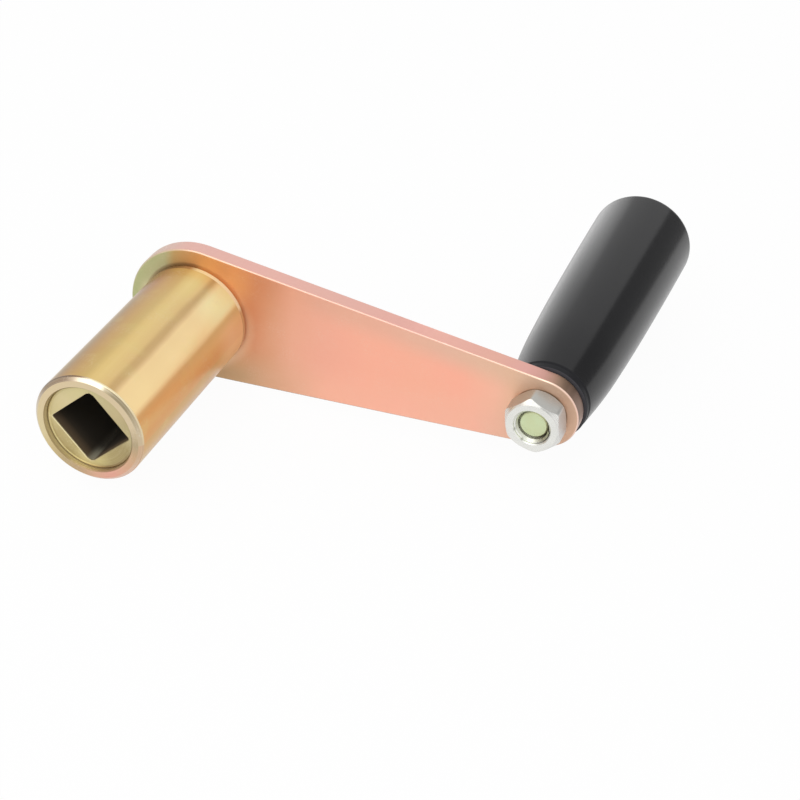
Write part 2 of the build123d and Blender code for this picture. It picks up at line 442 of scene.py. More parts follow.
def fine_wear(name):
    """Small scuffs and handling marks, as a mask and as a height."""
    tree, board, taken, given = effect_group(name, {"Amount": 0.3}, ["Scuffs", "Relief"])
    wide = board.noise(taken["Vector"], 120.0, 4.0, 0.65)
    fine = board.noise(taken["Vector"], 1800.0, 3.0, 0.7)
    marks = board.times(board.span(wide, 0.45, 0.7), board.span(fine, 0.45, 0.75))
    board.wire(given, Scuffs=board.times(marks, taken["Amount"]), Relief=fine)
    return tree


class Finish(Board):
    """A material in the making: a base tint, which may be one of the user's colours, and coats
    laid over it from first to last."""

    def __init__(self, name, colour=None):
        self.material = bpy.data.materials.new(name)
        self.material.use_nodes = True
        super().__init__(self.material.node_tree)
        self.shader = self.tree.nodes["Principled BSDF"]
        self.where = self.put("TexCoord").outputs["Object"]
        self.colours = bpy.context.scene.crank_finish
        self.tint = colour and getattr(self.colours, colour)

    def effect(self, maker, **sockets):
        """Place an effect's node group, which is built when a finish first asks for it."""
        name = maker.__name__.replace("_", " ").title()
        tree = bpy.data.node_groups.get(name) or maker(name)
        return self.put("Group", {"node_tree": tree}, Vector=self.where,
                        **sockets).outputs

    def turned(self, axis_x=0.0):
        return self.effect(turned_coordinates, Axis_X=axis_x)

    def grain(self, *line_scale):
        return self.effect(drawn_grain, Line_Scale=line_scale)

    def clouds(self, scale, spread=0.2):
        return self.effect(passivate_clouds, Scale=scale, Spread=spread)["Clouds"]

    def wear(self, amount):
        return self.effect(fine_wear, Amount=amount)

    def tinted(self, value, stops, first=0, whole=360):
        """Tints along a value, from stops of (place, red, green, blue). Places count from first
        to first + whole, in degrees from +X towards +Z, and colours from 0 to 255 as on a
        screen."""
        return self.ramp(value, [((place - first) / whole, [linear(level) for level in tint])
                                 for place, *tint in stops])

    def coat(self, share, tint, amount=1.0, mode="MIX"):
        """Lay a tint over the finish where a mask is strong."""
        if amount != 1.0:
            share = self.times(share, amount)
        self.tint = self.blend(share, self.tint, tint, mode)

    def done(self, metallic, gloss, relief=None, sweep=(0.3, 0.7), **plain):
        """Wire the shader. Gloss is a mask, which sweeps over a range, and the roughness at the
        range's ends. Relief is a height, its strength and its depth in mm."""
        mask, low, high = gloss
        if relief:
            height, strength, depth = relief
            plain["Normal"] = self.put("Bump", Height=height, Strength=strength,
                                       Distance=depth * MM).outputs["Normal"]
        self.wire(self.shader, Base_Color=self.tint, Metallic=metallic,
                  Roughness=self.span(mask, *sweep, low, high), **plain)
        return self.material


def linear(level):
    """A colour level from 0 to 255 on a screen, as light from 0 to 1."""
    level /= 255
    return level / 12.92 if level <= 0.04045 else ((level + 0.055) / 1.055) ** 2.4


# ---- Finishes ----
# Tints round the tube, along most of it, near the arm and at its end on the arm: an angle in
# degrees from +X towards +Z, then red, green and blue
# Over the plating's own tint these hold painted light: the pale bands are painted highlights
# and the darker bands are painted shade.
TUBE_TINTS_AND_LIGHT_BANDS = (
    (0, 218, 162, 89), (8, 222, 160, 89), (20, 228, 183, 114), (29, 220, 180, 116),
    (31.5, 240, 208, 148), (35, 254, 226, 164), (58, 245, 214, 155), (60.5, 227, 193, 138),
    (64, 202, 167, 110), (68, 201, 166, 108), (72, 222, 189, 124), (82, 227, 197, 127),
    (88, 222, 191, 119), (94, 204, 173, 103), (106, 193, 153, 86), (118, 172, 130, 70),
    (127, 149, 117, 65), (133, 165, 137, 94), (142, 222, 207, 178), (148, 228, 207, 180),
    (165, 196, 164, 112), (195, 222, 192, 130), (240, 208, 166, 112), (262, 196, 150, 104),
    (300, 218, 178, 124), (335, 204, 165, 112), (352, 211, 165, 91))
# Near the arm the tints hold a painted reflection of the arm, and painted shade on the left
# side.
TUBE_NEAR_TINTS_AND_REFLECTION = (
    (0, 246, 202, 150), (12, 244, 198, 146), (20, 243, 197, 142), (28, 225, 188, 127),
    (30.5, 232, 200, 138), (33, 252, 236, 174), (36, 255, 252, 194), (45, 255, 250, 188),
    (50, 254, 245, 184), (55, 249, 238, 178), (58, 246, 226, 168), (60.5, 230, 204, 146),
    (64, 198, 163, 105), (66.5, 199, 163, 104), (70, 228, 195, 127), (76, 230, 204, 130),
    (82, 232, 206, 133), (88, 223, 193, 118), (94, 205, 166, 93), (106, 193, 147, 81),
    (118, 171, 116, 66), (130, 150, 104, 56), (148, 140, 98, 50), (165, 176, 140, 90),
    (195, 222, 192, 130), (240, 208, 166, 112), (300, 218, 178, 124), (338, 245, 201, 145),
    (352, 249, 208, 154))
# At the end on the arm: a painted highlight from 28 to 86 degrees, and a painted shadow from 94
# to 140 degrees where the tube meets the arm.
TUBE_END_HIGHLIGHT_AND_SHADE = (
    (0, 208, 158, 112), (22, 214, 168, 116), (28, 255, 246, 208), (60, 255, 244, 204),
    (86, 250, 234, 180), (94, 176, 128, 78), (110, 120, 84, 48), (140, 118, 84, 50),
    (165, 190, 150, 100), (350, 208, 158, 112))


def plated_tube():
    look = Finish("Plated Hub")
    spot = look.turned()
    lines = look.grain(5200, 40, 5200)["Lines"]
    clouds = look.clouds(75.0)
    angle = look.plus(spot["Angle"], look.times(look.minus(clouds, 0.5), 0.002))
    look.tint = look.tinted(angle, TUBE_TINTS_AND_LIGHT_BANDS)
    # Towards the arm the tints turn to the ones near it, with their painted reflection and
    # shade.
    near = look.span_mm(spot["Depth"], 43, 58)
    look.coat(near, look.tinted(angle, TUBE_NEAR_TINTS_AND_REFLECTION))
    look.coat(clouds, look.colours.amber, 0.08)
    lime = look.span(look.noise(look.where, 110.0, 2.0, 0.5), 0.52, 0.66)
    look.coat(lime, (0.72, 0.66, 0.22), 0.10)
    look.coat(look.span(lines, 0.35, 0.75), (0.92, 0.74, 0.48), 0.05)
    # The tube's last stretch at the arm takes the painted highlight and shadow of its end.
    end = look.span_mm(spot["Depth"], 63.6, 63.9)
    look.coat(end, look.tinted(spot["Angle"], TUBE_END_HIGHLIGHT_AND_SHADE), 0.92)
    look.coat(look.wear(0.3)["Scuffs"], (0.80, 0.70, 0.52))
    return look.done(look.span_mm(spot["Depth"], 5, 55, 0.5, 0.15), (lines, 0.28, 0.33),
                     (lines, 0.04, 0.03))


# Turned faces: tints round the axis, the scale and tint of the clouds, the tint of scuffs and
# turning marks, and the lowest and highest roughness
TURNED_FACES = {
    "Plated Rim": ((
        (0, 176, 158, 124), (22, 216, 196, 162), (150, 219, 199, 160), (200, 219, 203, 158),
        (220, 207, 186, 134), (240, 186, 163, 120), (260, 189, 157, 120), (280, 222, 170, 145),
        (300, 229, 165, 148), (320, 222, 172, 142), (340, 209, 168, 131), (359, 176, 158, 124)),
        110.0, (0.62, 0.46, 0.24), (0.86, 0.78, 0.62), 0.34, 0.46),
    # The chamfer's tints are painted light: a painted highlight from 75 to 98 degrees, and
    # painted shade from 42 to 70 and from 113 to 144 degrees.
    "Plated Chamfer Painted Highlight And Shade": ((
        (0, 204, 182, 146), (14, 204, 184, 150), (30, 178, 162, 130), (42, 158, 143, 112),
        (60, 148, 134, 104), (70, 156, 142, 112), (75, 238, 228, 204), (98, 238, 224, 200),
        (106, 190, 164, 134), (113, 148, 120, 94), (144, 146, 126, 104), (156, 182, 166, 146),
        (172, 206, 192, 170), (200, 214, 200, 172), (222, 208, 190, 158), (240, 222, 202, 172),
        (262, 232, 206, 186), (282, 216, 176, 158), (300, 222, 172, 152), (325, 222, 184, 160),
        (345, 206, 170, 134)),
        140.0, (0.60, 0.50, 0.34), (0.88, 0.84, 0.74), 0.28, 0.40, {"marking": 0.2}),
    # The line at the chamfer's outer edge is painted light: a painted highlight up to 88
    # degrees, and a painted shade line from 98 to 142 degrees.
    "Rim Line Painted Highlight And Shade": ((
        (0, 214, 190, 150), (12, 226, 208, 168), (40, 234, 216, 174), (72, 244, 230, 190),
        (88, 236, 224, 196), (98, 150, 120, 90), (108, 112, 86, 62), (142, 104, 84, 64),
        (156, 176, 156, 140), (230, 196, 178, 156), (262, 236, 204, 190), (300, 210, 158, 142),
        (345, 204, 168, 130)),
        160.0, (0.60, 0.50, 0.34), (0.90, 0.86, 0.76), 0.26, 0.38),
    "Bore Edge": ((
        (0, 138, 120, 82), (30, 126, 108, 68), (60, 138, 120, 78), (90, 150, 132, 88),
        (120, 152, 134, 88), (150, 150, 126, 80), (180, 166, 144, 98), (215, 154, 132, 86),
        (245, 150, 128, 82), (270, 146, 118, 78), (300, 160, 118, 90), (330, 160, 124, 92),
        (359, 138, 120, 82)),
        160.0, (0.40, 0.30, 0.14), (0.70, 0.60, 0.40), 0.34, 0.44),
    "Plated Bush": ((
        (0, 190, 175, 134), (20, 184, 168, 124), (40, 196, 178, 134), (70, 196, 182, 138),
        (100, 212, 200, 146), (140, 218, 202, 154), (180, 212, 196, 142), (205, 190, 170, 118),
        (240, 182, 162, 108), (262, 216, 198, 140), (285, 206, 190, 130), (305, 176, 158, 108),
        (340, 162, 142, 98), (359, 190, 175, 134)),
        130.0, (0.56, 0.50, 0.20), (0.80, 0.72, 0.48), 0.36, 0.5,
        # The lip's bright tints from 178 to 262 degrees are a painted highlight along the
        # face's outer edge.
        {"marking": 0.2, "lip": (12.5, (
            (0, 190, 175, 134), (100, 212, 200, 146), (140, 206, 190, 140),
            (160, 220, 204, 150), (178, 248, 234, 184), (205, 255, 246, 196),
            (262, 255, 244, 192), (276, 232, 214, 158), (292, 170, 148, 104),
            (330, 156, 134, 92), (359, 190, 175, 134)))}),
    # The bush's outer chamfer is darker than its face all round: painted shade in the crevice
    # against the bore.
    "Bush Edge Painted Shade": ((
        (0, 150, 132, 88), (130, 158, 138, 90), (150, 150, 128, 78), (200, 164, 142, 92),
        (260, 158, 134, 86), (302, 136, 108, 74), (359, 150, 132, 88)),
        160.0, (0.40, 0.32, 0.16), (0.70, 0.60, 0.40), 0.28, 0.40),
    "Plated Bore": ((
        (0, 206, 192, 150), (90, 206, 192, 150), (180, 206, 192, 156), (250, 198, 184, 146),
        (300, 180, 156, 122), (359, 206, 192, 150)),
        130.0, (0.52, 0.44, 0.26), (0.80, 0.72, 0.52), 0.4, 0.5),
    # The socket's mouth chamfer is painted light: a painted highlight from 95 to 262 degrees,
    # and painted shade from 275 round to 80 degrees.
    "Socket Mouth Painted Highlight And Shade": ((
        (0, 130, 114, 74), (80, 120, 104, 68), (95, 206, 190, 140), (175, 220, 204, 152),
        (185, 250, 236, 186), (262, 246, 230, 178), (275, 196, 178, 128), (340, 150, 132, 88),
        (359, 130, 114, 74)),
        160.0, (0.70, 0.62, 0.36), (0.92, 0.86, 0.64), 0.3, 0.42),
    # The pale ring at the bolt's thread end is a painted highlight, brightest at 250 degrees.
    "Bolt Edge Painted Highlight": ((
        (0, 214, 214, 172), (90, 226, 230, 190), (180, 222, 226, 186), (250, 250, 248, 210),
        (300, 244, 240, 196), (359, 214, 214, 172)),
        300.0, (0.70, 0.72, 0.48), (0.92, 0.92, 0.74), 0.3, 0.4, {"axis": GRIP_AXIS}),
    "Thread Shade": ((
        (0, 190, 186, 164), (45, 214, 214, 194), (90, 226, 228, 206), (135, 222, 224, 206),
        (180, 226, 228, 212), (225, 226, 228, 212), (262, 236, 238, 226), (290, 206, 204, 188),
        (315, 150, 144, 124), (359, 190, 186, 164)),
        400.0, (0.30, 0.30, 0.24), (0.80, 0.80, 0.74), 0.28, 0.4,
        {"axis": GRIP_AXIS, "marking": 0.3}),
    # The countersink's tints are painted light: painted glints from 180 to 250 degrees, and
    # painted shade elsewhere round it.
    "Zinc Mouth Painted Glints And Shade": ((
        (0, 190, 188, 176), (45, 204, 205, 190), (90, 202, 204, 190), (135, 220, 222, 212),
        (180, 232, 232, 226), (196, 240, 240, 234), (204, 176, 176, 168), (212, 244, 244, 238),
        (238, 240, 240, 232), (244, 160, 162, 152), (250, 232, 232, 226), (276, 220, 220, 214),
        (292, 186, 184, 176), (315, 188, 186, 176), (340, 184, 182, 172), (359, 190, 188, 176)),
        420.0, (0.40, 0.40, 0.37), (0.94, 0.94, 0.91), 0.24, 0.38,
        {"axis": GRIP_AXIS, "marking": 0.5}),
    # The nut's chamfer is darker on top, from 58 to 94 degrees: painted shade.
    "Zinc Chamfer Painted Shade": ((
        (0, 224, 223, 219), (43, 222, 221, 217), (58, 186, 186, 182), (94, 182, 181, 176),
        (108, 206, 200, 190), (180, 216, 211, 205), (260, 224, 224, 218), (320, 220, 220, 216),
        (359, 218, 217, 213)),
        300.0, (0.76, 0.76, 0.74), (0.96, 0.96, 0.94), 0.22, 0.34, {"axis": GRIP_AXIS}),
}


def turned_face(name):
    """A plated turned face: tints round its axis, clouds, scuffs and fine turning marks. A lip
    is a radius in mm and the tints beyond it, which on the bush are a painted highlight."""
    stops, scale, cloud, scuff, low, high, *more = TURNED_FACES[name]
    more = more[0] if more else {}
    look = Finish(name)
    spot = look.turned(more.get("axis", 0.0))
    # The marks lie close together along the radius and run far round the axis
    rings = look.put("CombineXYZ", X=look.times(spot["Radius"], 7000.0),
                     Y=look.times(spot["Angle"], 3.0))
    marks = look.noise(rings.outputs["Vector"], 1.0, 2.0, 0.6)
    look.tint = look.tinted(spot["Angle"], stops)
    if "lip" in more:
        radius, beyond = more["lip"]
        # Beyond the lip's radius: a painted highlight.
        look.coat(look.span_mm(spot["Radius"], radius, radius + 0.15),
                  look.tinted(spot["Angle"], beyond))
    look.coat(look.clouds(scale, 0.22), cloud, 0.16)
    look.coat(look.span(marks, 0.4, 0.7), scuff, more.get("marking", 0.14))
    look.coat(look.wear(0.35)["Scuffs"], scuff)
    return look.done(0.7, (marks, low, high), (marks, 0.10, 0.03))


def socket_wall():
    look = Finish("Broached Wall Painted Shade")
    lines = look.grain(3000, 60, 3000)["Lines"]
    x, y, z = look.apart(look.where)
    # The wall darkens with depth into the socket: painted shade.
    look.tint = look.ramp(look.span_mm(y, 1.5, 9), [
        (0.0, (0.15, 0.105, 0.062)), (0.5, (0.055, 0.043, 0.03)), (1.0, (0.032, 0.027, 0.021))])
    # A paler streak in the bottom corner near the mouth: a painted highlight.
    corner_highlight = look.times(look.span_mm(z, -8.5, -11),
                        look.span_mm(look.math("ABSOLUTE", x), 1.8, 0.3))
    look.coat(look.times(corner_highlight, look.span_mm(y, 9, 4, 0.05, 0.5)), (0.55, 0.53, 0.40))
    look.coat(lines, (0.07, 0.055, 0.04), 0.15)
    return look.done(0.0, (lines, 0.6, 0.75), (lines, 0.15, 0.05), Specular_IOR_Level=0.1)


# Tints along the arm's face, its edge and the line between them: a distance from the hub's axis
# in mm, then red, green and blue
ARM_RUN = (-22, 144)  # where the tints start, and the length that they cover
ARM_MIDDLE_TINTS = (
    (-22, 176, 188, 134), (-10, 184, 184, 132), (-7, 200, 166, 102), (2, 228, 164, 98),
    (11, 240, 165, 106), (19, 226, 156, 115), (26, 231, 167, 132), (32, 243, 177, 149),
    (40, 247, 177, 153), (56, 253, 179, 154), (86, 254, 179, 154), (95, 250, 188, 162),
    (101, 239, 192, 160), (108, 216, 180, 154), (121, 210, 174, 148))
ARM_UPPER_TINTS = (
    (-22, 176, 188, 134), (-10, 184, 184, 132), (-7, 200, 166, 102), (2, 226, 162, 96),
    (12, 236, 160, 102), (20, 221, 145, 106), (26, 227, 159, 126), (32, 242, 176, 148),
    (40, 236, 175, 151), (60, 237, 178, 155), (80, 232, 184, 160), (100, 230, 188, 158),
    (108, 222, 188, 162), (121, 206, 168, 142))
ARM_LOWER_TINTS = (
    (-22, 182, 182, 132), (8, 196, 161, 117), (16, 208, 169, 127), (26, 227, 175, 139),
    (32, 235, 179, 147), (44, 252, 185, 159), (60, 254, 184, 160), (90, 250, 184, 160),
    (104, 230, 184, 158), (121, 212, 172, 144))
# The dark tints on the tip's edge, from 111.8 to 121.35 mm, are a painted reflection of the
# black grip.
ARM_EDGE_TINTS_AND_GRIP_REFLECTION = (
    (-22, 196, 178, 158), (-12, 212, 186, 172), (-4, 226, 180, 170), (20, 230, 179, 169),
    (45, 227, 177, 165), (70, 229, 172, 161), (95, 227, 171, 155), (104, 223, 166, 158),
    (109, 204, 152, 140), (111.8, 172, 132, 112), (113.5, 134, 108, 84), (116, 110, 88, 66),
    (119, 104, 84, 70), (120.9, 116, 98, 86), (121.35, 122, 98, 88), (121.5, 176, 138, 132))
# The paler tints from 106 mm on round the tip are a painted highlight.
ARM_CORNER_TINTS_AND_HIGHLIGHT = (
    (-22, 196, 188, 160), (0, 226, 186, 160), (30, 224, 178, 160), (70, 222, 175, 160),
    (100, 228, 188, 168), (106, 234, 198, 176), (110, 246, 216, 194), (121, 240, 204, 188))
# The lower corners are darker, most of all by the hub: painted shade.
ARM_UNDER_PAINTED_SHADE = (
    (-22, 120, 108, 84), (30, 118, 104, 82), (60, 160, 134, 114), (90, 196, 166, 146),
    (121, 210, 176, 156))


def along_arm(look, amount):
    """A rule for tints along the arm, which wander a little as a plated tint does, and the
    coordinates along and above the arm."""
    x, y, z = look.apart(look.where)
    wander = look.times(look.minus(look.noise(look.where, 55.0, 2.0, 0.5), 0.5), amount)
    first, whole = ARM_RUN
    place = look.span_mm(look.plus(x, wander), first, first + whole, smooth=False)
    return lambda stops: look.tinted(place, stops, first, whole), x, z


def plated_arm():
    look = Finish("Plated Arm")
    laid, x, z = along_arm(look, 0.006)
    grain = look.grain(60, 2600, 2600)
    slope = look.times(x, 0.0948)
    look.tint = laid(ARM_MIDDLE_TINTS)
    look.coat(look.span_mm(look.plus(z, slope), 12, 20.5), laid(ARM_UPPER_TINTS))
    look.coat(look.span_mm(look.minus(slope, z), 6, 20), laid(ARM_LOWER_TINTS))
    look.coat(look.clouds(50.0), look.colours.rose, 0.10)
    look.coat(grain["Lines"], (0.98, 0.66, 0.50), 0.07)
    look.coat(look.wear(0.3)["Scuffs"], (0.92, 0.68, 0.52))
    # A dark ring on the arm round the nut's foot: a painted contact shadow.
    wear_and_shadow = look.span_mm(look.turned(GRIP_AXIS)["Radius"], 8.35, 7.9, 0.0, 0.72)
    look.coat(wear_and_shadow, (0.17, 0.085, 0.04))
    hub = look.turned()
    # A dark ring round the tube's foot, strongest above the tube: painted shade where the tube
    # meets the arm.
    above = look.times(look.span(hub["Angle"], 0.22, 0.27, 0.14, 0.6),
                       look.span_mm(z, 0, 6, 0.1, 1.0))
    painted_joint_shade = look.times(look.span_mm(hub["Radius"], 17.9, 17.1), above)
    look.coat(painted_joint_shade, (0.26, 0.13, 0.05))
    # The arm is paler beside the tube and below its top: painted light that lifts the shade
    # there.
    painted_light_near_hub = look.times(look.span_mm(hub["Radius"], 20.5, 17),
                       look.span_mm(z, 12, 2))
    look.coat(painted_light_near_hub, (0.95, 0.62, 0.40), 0.4, "SCREEN")
    return look.done(0.5, (grain["Mottle"], 0.36, 0.46), (grain["Mottle"], 0.08, 0.04))


def arm_edge():
    look = Finish("Plated Arm Edge")
    laid, x, z = along_arm(look, 0.004)
    lines = look.grain(700, 120, 700)["Lines"]
    look.tint = laid(ARM_EDGE_TINTS_AND_GRIP_REFLECTION)
    # The tip's edge is paler low down: painted light.
    painted_light_low_on_tip = look.times(look.span_mm(z, 1.0, -2.5), look.span_mm(x, 112, 118))
    look.coat(painted_light_low_on_tip, (0.66, 0.50, 0.44))
    look.coat(look.clouds(90.0), (0.80, 0.50, 0.36), 0.14)
    look.coat(lines, (0.86, 0.58, 0.52), 0.16)
    return look.done(0.8, (lines, 0.38, 0.5), (lines, 0.14, 0.05))


def arm_corner():
    look = Finish("Plated Arm Corner")
    laid, x, z = along_arm(look, 0.004)
    wear = look.wear(0.5)
    look.tint = laid(ARM_CORNER_TINTS_AND_HIGHLIGHT)
    # Painted shade on the lower corners.
    look.coat(look.span_mm(z, -2, -8), laid(ARM_UNDER_PAINTED_SHADE))
    look.coat(wear["Scuffs"], (0.95, 0.84, 0.72))
    return look.done(0.8, (wear["Relief"], 0.28, 0.40))


def cloudy_plate(name, colour, cloud, scuff, *, scale, amount, wear_and_shadow, metallic, rough, strength,
                 depth):
    """A plated finish with tint clouds and scuffs alone."""
    look = Finish(name, colour)
    clouds, wear = look.clouds(scale), look.wear(wear_and_shadow)
    look.coat(clouds, cloud, amount)
    look.coat(wear["Scuffs"], scuff)
    return look.done(metallic, (clouds, 0.34, rough), (wear["Relief"], strength, depth),
                     sweep=(0.0, 1.0))


def weld_metal():
    return cloudy_plate("Plated Weld", "weld", (0.46, 0.34, 0.20), (0.72, 0.62, 0.44),
                        scale=160.0, amount=1.0, wear_and_shadow=0.4, metallic=0.8, rough=0.5,
                        strength=0.3, depth=0.1)


def bolt_plate():
    return cloudy_plate("Plated Bolt", "thread_plate", (0.66, 0.68, 0.40), (0.78, 0.82, 0.66),
                        scale=260.0, amount=0.4, wear_and_shadow=0.3, metallic=0.7, rough=0.48,
                        strength=0.12, depth=0.04)


def zinc_nut():
    look = Finish("Bright Zinc", "zinc")
    lines, wear = look.grain(900, 300, 900)["Lines"], look.wear(0.35)
    look.coat(look.clouds(300.0, 0.25), (0.64, 0.64, 0.61), 0.25)
    look.coat(wear["Scuffs"], (0.90, 0.90, 0.88))
    return look.done(0.85, (lines, 0.24, 0.34), (wear["Relief"], 0.08, 0.03))


def nut_flat():
    look = Finish("Zinc Flats Painted Shade And Reflection")
    lines = look.grain(700, 2400, 700)["Lines"]
    # Each flat has its own tone: painted shade, with a painted reflection of the arm on the
    # flats from 103 to 159 degrees.
    look.tint = look.tinted(look.turned(GRIP_AXIS)["Angle"], (
        (0, 210, 206, 202), (39.5, 204, 200, 196), (42, 178, 178, 174), (99, 182, 183, 178),
        (103, 178, 164, 146), (159, 178, 162, 142), (163, 214, 208, 200), (220, 210, 205, 198),
        (280, 200, 196, 190), (340, 206, 202, 198)))
    look.coat(lines, (0.70, 0.69, 0.66), 0.15)
    look.coat(look.wear(0.35)["Scuffs"], (0.8, 0.8, 0.78))
    return look.done(0.4, (lines, 0.28, 0.40), (lines, 0.10, 0.04))


def grip_plastic(name="Satin Black Plastic", gloss=0.3, low=0.20, high=0.26, sheen=0.04,
                 tone=1.0):
    """Moulded black plastic. A tone over 1 is paler; on the grip's end face by the arm that
    paler tone is painted light.
    """
    look = Finish(name)
    grain = look.grain(1500, 1500, 1500)
    look.tint = [tone * level for level in look.colours.grip_black]
    look.coat(grain["Mottle"], [1.35 * level for level in look.tint])
    look.coat(look.wear(0.25)["Scuffs"], (0.02, 0.02, 0.02))
    return look.done(0.0, (grain["Mottle"], low, high), (grain["Lines"], 0.05, 0.02), IOR=1.5,
                     Specular_IOR_Level=gloss, Sheen_Weight=sheen, Sheen_Roughness=0.35)


# ---- Hub ----
class MESH_OT_crank_hub_tube(bpy.types.Operator):
    """Turn the hub tube, with its chamfered rim and the spigot that seats in the arm"""
    bl_idname = "mesh.crank_hub_tube"
    bl_label = "Hub Tube"

    def execute(self, context):
        size = context.scene.crank_hub
        outside, back = hidden_skin(size.radius), hidden_skin(TUBE_HIGH.y)
        rim, heel = outside - size.rim_chamfer, size.shoulder - size.heel_chamfer
        lip, lip_width, line_width = 0.35 * MM, 0.3 * MM, 0.5 * MM
        bm = bmesh.new()
        strip(bm, [(rim, 0), (outside, size.rim_chamfer), (outside, heel),
                   (outside - size.heel_chamfer, size.shoulder), (size.spigot, size.shoulder),
                   (size.spigot, back), (size.bore, back), (size.bore, lip),
                   (size.bore + lip, 0)], closed=True)
        spin_round(bm, 0.0, 192)
        fine_round, line_round = 0.14 * MM, 0.3 * MM
        bevel(bm, sharp_edges(bm, ring_at(0, rim)) + sharp_edges(bm, ring_at(heel, outside)),
              fine_round, 2)
        bevel(bm, sharp_edges(bm, ring_at(size.rim_chamfer, outside)), line_round, 2)
        TUBE, RIM, CHAMFER, LINE, BORE, BORE_EDGE = range(6)

        def pick(reach, depth, facing):
            if reach < size.bore + NEAR:
                return BORE
            if reach < size.bore + lip_width and depth < size.rim_chamfer:
                return BORE_EDGE
            if depth < 2 * size.rim_chamfer and -0.62 < facing < -0.12 and (
                    reach > outside - line_width):
                return LINE
            if depth > size.rim_chamfer:
                return TUBE
            return RIM if depth < NEAR else CHAMFER

        paint(bm, pick)
        finish_piece(bm, "turned_hub_tube", "crank", "hub_tube",
                     [plated_tube(), *map(turned_face, (
                         "Plated Rim", "Plated Chamfer Painted Highlight And Shade", "Rim Line Painted Highlight And Shade", "Plated Bore",
                         "Bore Edge"))])
        return {"FINISHED"}


class MESH_OT_crank_bush(bpy.types.Operator):
    """Cut the bush with its square socket, whose corners point along and across the arm"""
    bl_idname = "mesh.crank_bush"
    bl_label = "Square Bush"

    def execute(self, context):
        size = context.scene.crank_hub
        outside = hidden_skin(BUSH_HIGH.z)
        front, back = BUSH_LOW.y + SKIN, BUSH_HIGH.y - SKIN
        wall = 0.95 * outside  # the socket lies inside this radius
        bm = bmesh.new()
        circle(bm, outside, 0, front, 144)
        corners = circle(bm, size.socket_width / math.sqrt(2), 0, front, 4)
        beside = [vert for vert in corners if abs(vert.co.x) > MM]
        upright = [vert for vert in corners if abs(vert.co.x) < MM]
        bevel(bm, beside, size.socket_corner, 6, "VERTICES")
        bevel(bm, upright, size.socket_crest, 2, "VERTICES")
        thicken(bm, bm.edges[:], back - front)
        BUSH, WALL, EDGE_LINE, MOUTH_LINE = range(4)
        paint(bm, lambda reach, depth, facing:
              WALL if abs(facing) < 0.5 and reach < wall else BUSH)
        for depth, chamfer in ((front, size.bush_chamfer), (back, -size.bush_chamfer)):
            bevel(bm, sharp_edges(bm, ring_at(depth, outside)), size.bush_chamfer, 1)
            ring = [vert for vert in bm.verts if off_axis(vert.co) > outside - SKIN
                    and abs(vert.co.y - depth - chamfer) < NEAR]
            bmesh.ops.translate(bm, verts=ring, vec=(0, -chamfer / 2, 0))
            mouth = sharp_edges(bm, lambda edge: ring_at(depth)(edge) and all(
                off_axis(vert.co) < wall - size.bush_chamfer for vert in edge.verts))
            bevel(bm, mouth, size.mouth_chamfer, 2)

        def pick(reach, depth, facing):
            if 0.1 < abs(facing) < 0.99:
                return EDGE_LINE if reach > outside - size.bush_chamfer else MOUTH_LINE

        paint(bm, pick)
        finish_piece(bm, "broached_bush", "crank", "square_bush",
                     [turned_face("Plated Bush"), socket_wall(), turned_face("Bush Edge Painted Shade"),
                      turned_face("Socket Mouth Painted Highlight And Shade")])
        return {"FINISHED"}


# ---- Arm ----
class MESH_OT_crank_arm(bpy.types.Operator):
    """Cut the tapered arm with its round ends, its two holes and its softened edges"""
    bl_idname = "mesh.crank_arm"
    bl_label = "Arm Plate"

    def execute(self, context):
        size = context.scene.crank_arm
        hub = hidden_skin(min(-ARM_LOW.x, ARM_HIGH.z))
        tip = hidden_skin(ARM_HIGH.x - GRIP_AXIS)
        front, back = ARM_LOW.y + SKIN, ARM_HIGH.y - SKIN
        lean = math.acos((hub - tip) / GRIP_AXIS)
        near_hub, near_axle = 18 * MM, 7 * MM  # the holes lie inside these radii
        bm = bmesh.new()
        ends = []
        for centre, radius, start, sweep, steps in (
                (0.0, hub, lean, FULL_TURN - 2 * lean, 132),
                (GRIP_AXIS, tip, -lean, 2 * lean, 64)):
            first = bm.verts.new((centre + radius * math.cos(start), front,
                                  radius * math.sin(start)))
            ends.append((first, arc(bm, first, (centre, 0, 0), (0, -1, 0), sweep, steps)))
        bm.edges.new((ends[0][1], ends[1][0]))
        bm.edges.new((ends[1][1], ends[0][0]))
        circle(bm, context.scene.crank_hub.spigot + 0.05 * MM, 0, front, 144)
        circle(bm, size.axle_hole, GRIP_AXIS, front, 72)
        thicken(bm, bm.edges[:], back - front)
        outline = sharp_edges(bm, lambda edge: all(
            off_axis(vert.co) > near_hub and off_axis(vert.co, GRIP_AXIS) > near_axle
            for vert in edge.verts), math.radians(60))
        bevel(bm, outline, size.edge, 4)
        FACE, EDGE, CORNER = range(3)
        paint(bm, lambda reach, depth, facing:
              FACE if abs(facing) > 0.93 else CORNER if abs(facing) > 0.3 else EDGE)
        finish_piece(bm, "tapered_arm", "crank", "arm_plate",
                     [plated_arm(), arm_edge(), arm_corner()])
        return {"FINISHED"}


